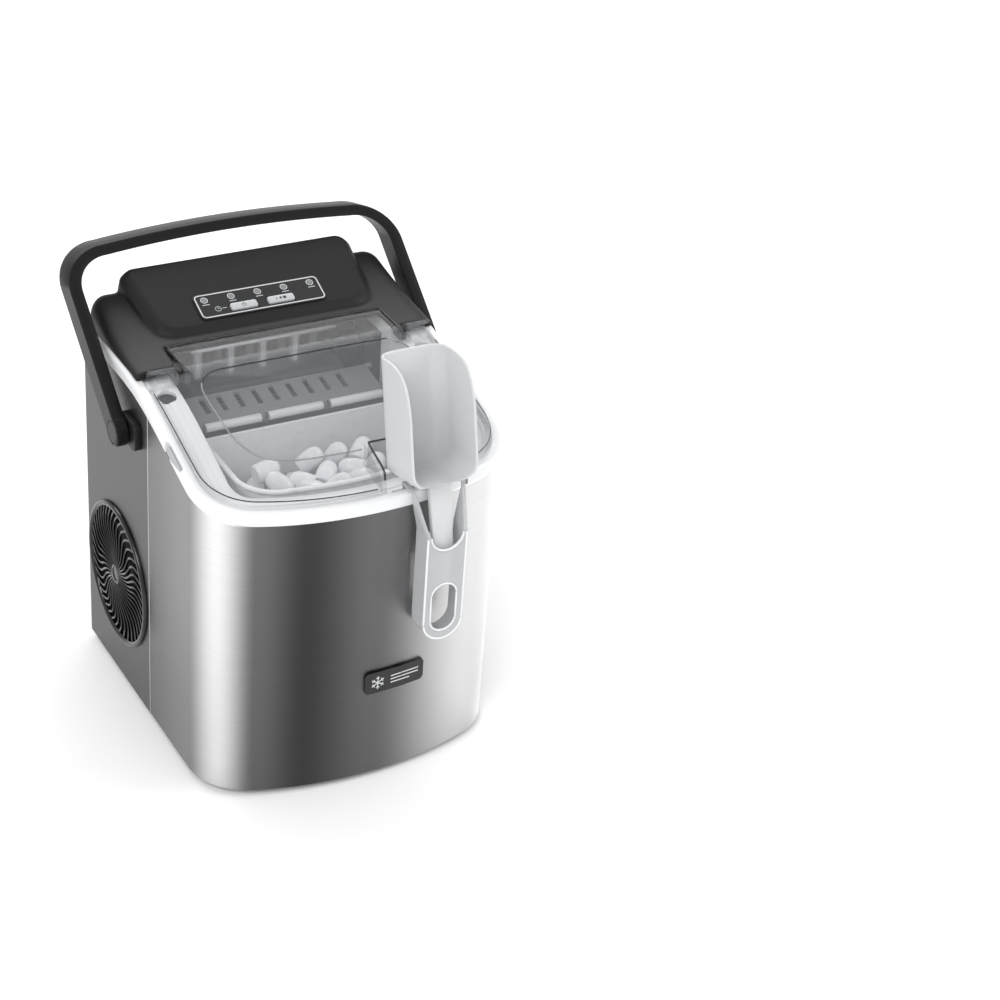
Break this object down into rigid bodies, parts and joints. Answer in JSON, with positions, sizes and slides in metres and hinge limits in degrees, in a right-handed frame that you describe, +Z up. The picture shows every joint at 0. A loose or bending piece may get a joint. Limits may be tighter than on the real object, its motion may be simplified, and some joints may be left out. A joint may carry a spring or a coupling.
{
  "type": "countertop ice maker",
  "caption": "Countertop bullet-ice maker with a clear hinged lid, folding carry handle, ice basket and a scoop in a front holder.",
  "frame": {"origin": "on the surface it stands on, under the middle of the overall box", "axes": "+Z up; +Y to the back, where the inlet and drain are; +X to the right seen from the front"},
  "size_m": [0.2528, 0.2982, 0.3177],
  "materials": {
    "brushed_steel": "stainless, fine vertical brush with soft light and dark bands",
    "side_steel": "darker satin steel sheet",
    "white_plastic": "white semi-gloss moulded plastic",
    "black_plastic": "satin black moulded plastic",
    "gloss_black": "gloss black moulded plastic",
    "inner_black": "matt black inner moulding",
    "overlay_film": "semi-gloss printed film with a silver outline",
    "button_grey": "light grey satin keycap",
    "light_guide": "clear moulded light guide",
    "circuit_board": "green solder mask",
    "smoked_clear": "clear, lightly smoked moulded plastic",
    "basket_clear": "translucent moulded plastic",
    "tray_smoke": "smoky translucent moulded plastic",
    "clear_hose": "clear silicone hose",
    "holder_frosted": "frosted translucent plastic",
    "scoop_frosted": "milky translucent plastic, bright at its edges",
    "shovel_white": "white satin moulded plastic",
    "finger_chrome": "nickel-plated copper fingers",
    "copper": "drawn copper tube",
    "fin_aluminium": "thin aluminium fins",
    "zinc_plate": "zinc-plated sheet",
    "compressor_paint": "black enamel",
    "black_rubber": "matt rubber"
  },
  "bodies": {
    "casing": {"base_pan": "zinc_plate", "foot_front_left": "black_rubber", "foot_front_right": "black_rubber", "foot_rear_left": "black_rubber", "foot_rear_right": "black_rubber", "front_wrap": "brushed_steel", "side_panel_left": "side_steel", "side_panel_right": "side_steel", "rear_panel": "side_steel", "top_frame": "white_plastic", "hinge_cap_left": "black_rubber", "hinge_cap_right": "black_rubber", "pivot_boss_left": "black_plastic", "pivot_boss_right": "black_plastic", "badge_plate": "gloss_black", "top_cover": "black_plastic", "control_overlay": "overlay_film", "indicator_light_guide": "light_guide", "control_board": "circuit_board", "fan_grille": "gloss_black", "fan_shroud": "inner_black", "fan_motor": "zinc_plate", "condenser": "fin_aluminium", "compressor": "compressor_paint", "compressor_bracket": "zinc_plate", "evaporator": "finger_chrome", "filter_drier": "copper", "discharge_tube": "copper", "suction_tube": "copper", "tank_liner": "white_plastic", "water_pump": "inner_black", "fill_tube": "clear_hose", "tray_motor": "inner_black", "ice_full_sensor": "inner_black", "drain_spout": "white_plastic", "power_inlet": "inner_black", "power_board": "circuit_board"},
    "lid": {"lid": "smoked_clear"},
    "handle": {"carry_handle": "black_plastic"},
    "power_button": {"power_button": "button_grey"},
    "select_button": {"select_button": "button_grey"},
    "fan": {"fan_blades": "inner_black"},
    "tray": {"water_tray": "tray_smoke"},
    "shovel": {"ice_shovel": "shovel_white"},
    "basket": {"ice_basket": "basket_clear"},
    "holder": {"scoop_holder": "holder_frosted"},
    "scoop": {"scoop": "scoop_frosted"},
    "plug": {"drain_plug": "black_rubber"}
  },
  "joints": [
    {"name": "lid_hinge", "type": "hinge", "parent": "casing", "child": "lid", "pos_m": [0, 0.01406, 0.265], "axis": [-1, 0, 0], "range_deg": [0, 100]},
    {"name": "handle_pivot", "type": "hinge", "parent": "casing", "child": "handle", "pos_m": [0, 0.02786, 0.224], "axis": [1, 0, 0], "range_deg": [0, 70]},
    {"name": "power_button_press", "type": "slide", "parent": "casing", "child": "power_button", "axis": [0, 0.3714, -0.9285], "range_m": [0, 0.001], "stiffness_N_per_m": 600},
    {"name": "select_button_press", "type": "slide", "parent": "casing", "child": "select_button", "axis": [0, 0.3714, -0.9285], "range_m": [0, 0.001], "stiffness_N_per_m": 600},
    {"name": "fan_spin", "type": "hinge", "parent": "casing", "child": "fan", "pos_m": [-0.103, 0.05686, 0.09], "axis": [1, 0, 0], "continuous": true},
    {"name": "tray_tilt", "type": "hinge", "parent": "casing", "child": "tray", "pos_m": [0, 0.08536, 0.224], "axis": [-1, 0, 0], "range_deg": [0, 14]},
    {"name": "shovel_tilt", "type": "hinge", "parent": "casing", "child": "shovel", "pos_m": [0, 0.04086, 0.229], "axis": [-1, 0, 0], "range_deg": [-14, 0]},
    {"name": "basket_lift", "type": "slide", "parent": "casing", "child": "basket", "axis": [0, 0, 1], "range_m": [0, 0.012]},
    {"name": "holder_lift", "type": "slide", "parent": "casing", "child": "holder", "axis": [0, 0, 1], "range_m": [0, 0.03]},
    {"name": "scoop_lift", "type": "slide", "parent": "holder", "child": "scoop", "axis": [0, 0.2079, 0.9781], "range_m": [0, 0.12]},
    {"name": "drain_plug_pull", "type": "slide", "parent": "casing", "child": "plug", "axis": [0, 1, 0], "range_m": [0, 0.02]}
  ],
  "couplings": [
    {"joint": "shovel_tilt", "follows": "tray_tilt", "ratio": -1}
  ]
}
